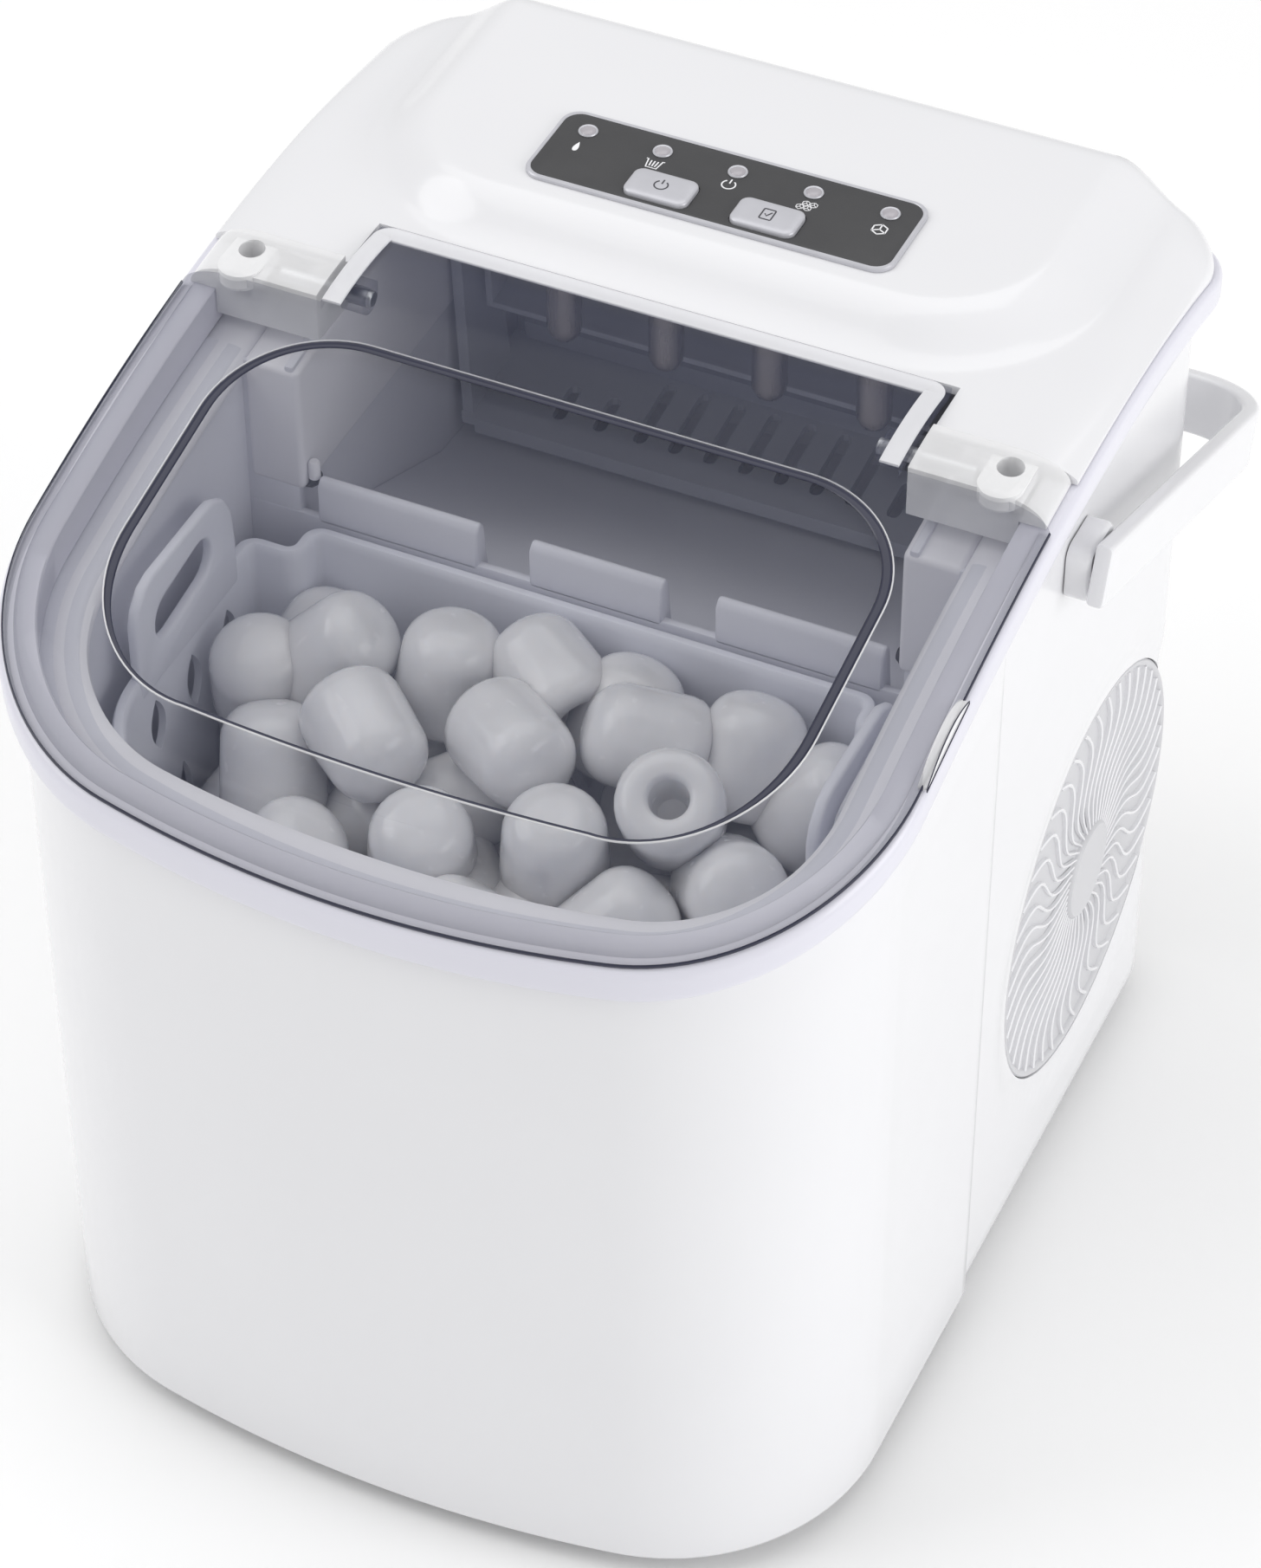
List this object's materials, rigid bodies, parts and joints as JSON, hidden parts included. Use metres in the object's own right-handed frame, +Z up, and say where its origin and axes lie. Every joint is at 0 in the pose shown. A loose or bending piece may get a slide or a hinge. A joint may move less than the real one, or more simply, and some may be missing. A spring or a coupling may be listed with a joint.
{
  "type": "ice maker",
  "caption": "Counter-top ice maker with a see-through hinged lid over a lift-out ice basket, a raised control hood, a swing-over carry handle and a side fan grille.",
  "frame": {"origin": "under the middle of the whole object's box, on the surface it stands on", "axes": "+X to the right seen from the front, +Y from the front to the back, +Z up"},
  "size_m": [0.2376, 0.2952, 0.2696],
  "materials": {
    "casing_white": "glossy white moulded plastic",
    "trim_white": "glossy cool white moulded plastic",
    "tinted_clear": "clear smoke-tinted plastic",
    "clear_plastic": "clear plastic",
    "tub_grey": "satin blue-grey plastic",
    "basket_blue": "translucent pale blue plastic",
    "dark_grey": "satin grey plastic",
    "panel_film": "dark grey printed film",
    "silver_button": "silver-coated plastic",
    "lens": "milky plastic",
    "rubber": "matt black rubber",
    "steel": "bright steel",
    "nickel": "nickel-plated copper",
    "aluminium_fins": "plain aluminium",
    "copper": "bare copper",
    "black_parts": "satin black",
    "grille": "matt light grey plastic",
    "circuit_board": "green circuit board",
    "foam": "rigid foam"
  },
  "bodies": {
    "casing": {"base_tray": "casing_white", "front_shell": "casing_white", "rear_shell": "casing_white", "top_cover": "casing_white", "handle_pivot_left": "casing_white", "handle_pivot_right": "casing_white", "trim_frame": "trim_white", "hinge_cover_left": "clear_plastic", "hinge_cover_right": "clear_plastic", "supply_hose": "clear_plastic", "drain_hose": "clear_plastic", "tub_liner": "tub_grey", "control_panel": "panel_film", "indicator_lens_1": "lens", "indicator_lens_2": "lens", "indicator_lens_3": "lens", "indicator_lens_4": "lens", "indicator_lens_5": "lens", "foot_front_left": "rubber", "foot_front_right": "rubber", "foot_rear_left": "rubber", "foot_rear_right": "rubber", "compressor_grommet_1": "rubber", "compressor_grommet_2": "rubber", "compressor_grommet_3": "rubber", "hinge_pin_left": "steel", "hinge_pin_right": "steel", "hinge_screw_left": "steel", "hinge_screw_right": "steel", "fan_motor": "steel", "water_level_sensor": "steel", "evaporator": "nickel", "condenser": "aluminium_fins", "filter_drier": "copper", "suction_pipe": "copper", "liquid_pipe": "copper", "discharge_pipe": "copper", "compressor": "black_parts", "terminal_box": "black_parts", "fan_shroud": "black_parts", "tray_motor": "black_parts", "ice_sensor_left": "black_parts", "ice_sensor_right": "black_parts", "water_pump": "black_parts", "power_inlet": "black_parts", "fan_grille": "grille", "control_board": "circuit_board", "power_board": "circuit_board", "insulation_panel": "foam"},
    "lid": {"lid": "tinted_clear"},
    "handle": {"carry_handle": "casing_white"},
    "power_key": {"power_button": "silver_button"},
    "select_key": {"select_button": "silver_button"},
    "fan": {"fan_blade": "black_parts"},
    "tray": {"water_tray": "dark_grey"},
    "shovel": {"ice_shovel": "dark_grey"},
    "basket": {"ice_basket": "basket_blue"},
    "drain_plug": {"drain_cap": "rubber"}
  },
  "joints": [
    {"name": "lid_hinge", "type": "hinge", "parent": "casing", "child": "lid", "pos_m": [0, 0.00392, 0.2553], "axis": [-1, 0, 0], "range_deg": [0, 95]},
    {"name": "handle_swing", "type": "hinge", "parent": "casing", "child": "handle", "pos_m": [0, 0.02692, 0.219], "axis": [1, 0, 0], "range_deg": [0, 110]},
    {"name": "power_press", "type": "slide", "parent": "casing", "child": "power_key", "axis": [0, 0, -1], "range_m": [0, 0.0012], "stiffness_N_per_m": 900, "springref_m": -0.0004},
    {"name": "select_press", "type": "slide", "parent": "casing", "child": "select_key", "axis": [0, 0, -1], "range_m": [0, 0.0012], "stiffness_N_per_m": 900, "springref_m": -0.0004},
    {"name": "fan_spin", "type": "hinge", "parent": "casing", "child": "fan", "pos_m": [0.095, 0.05792, 0.0873], "axis": [1, 0, 0], "continuous": true},
    {"name": "tray_tilt", "type": "hinge", "parent": "casing", "child": "tray", "pos_m": [0, 0.07392, 0.229], "axis": [-1, 0, 0], "range_deg": [0, 69]},
    {"name": "shovel_swing", "type": "hinge", "parent": "casing", "child": "shovel", "pos_m": [0, 0.07392, 0.229], "axis": [-1, 0, 0], "range_deg": [0, 45]},
    {"name": "basket_lift", "type": "slide", "parent": "casing", "child": "basket", "axis": [0, 0, 1], "range_m": [0, 0.015]},
    {"name": "drain_pull", "type": "slide", "parent": "casing", "child": "drain_plug", "axis": [-1, 0, 0], "range_m": [0, 0.012]}
  ],
  "couplings": [
    {"joint": "shovel_swing", "follows": "tray_tilt", "ratio": 0.652}
  ]
}
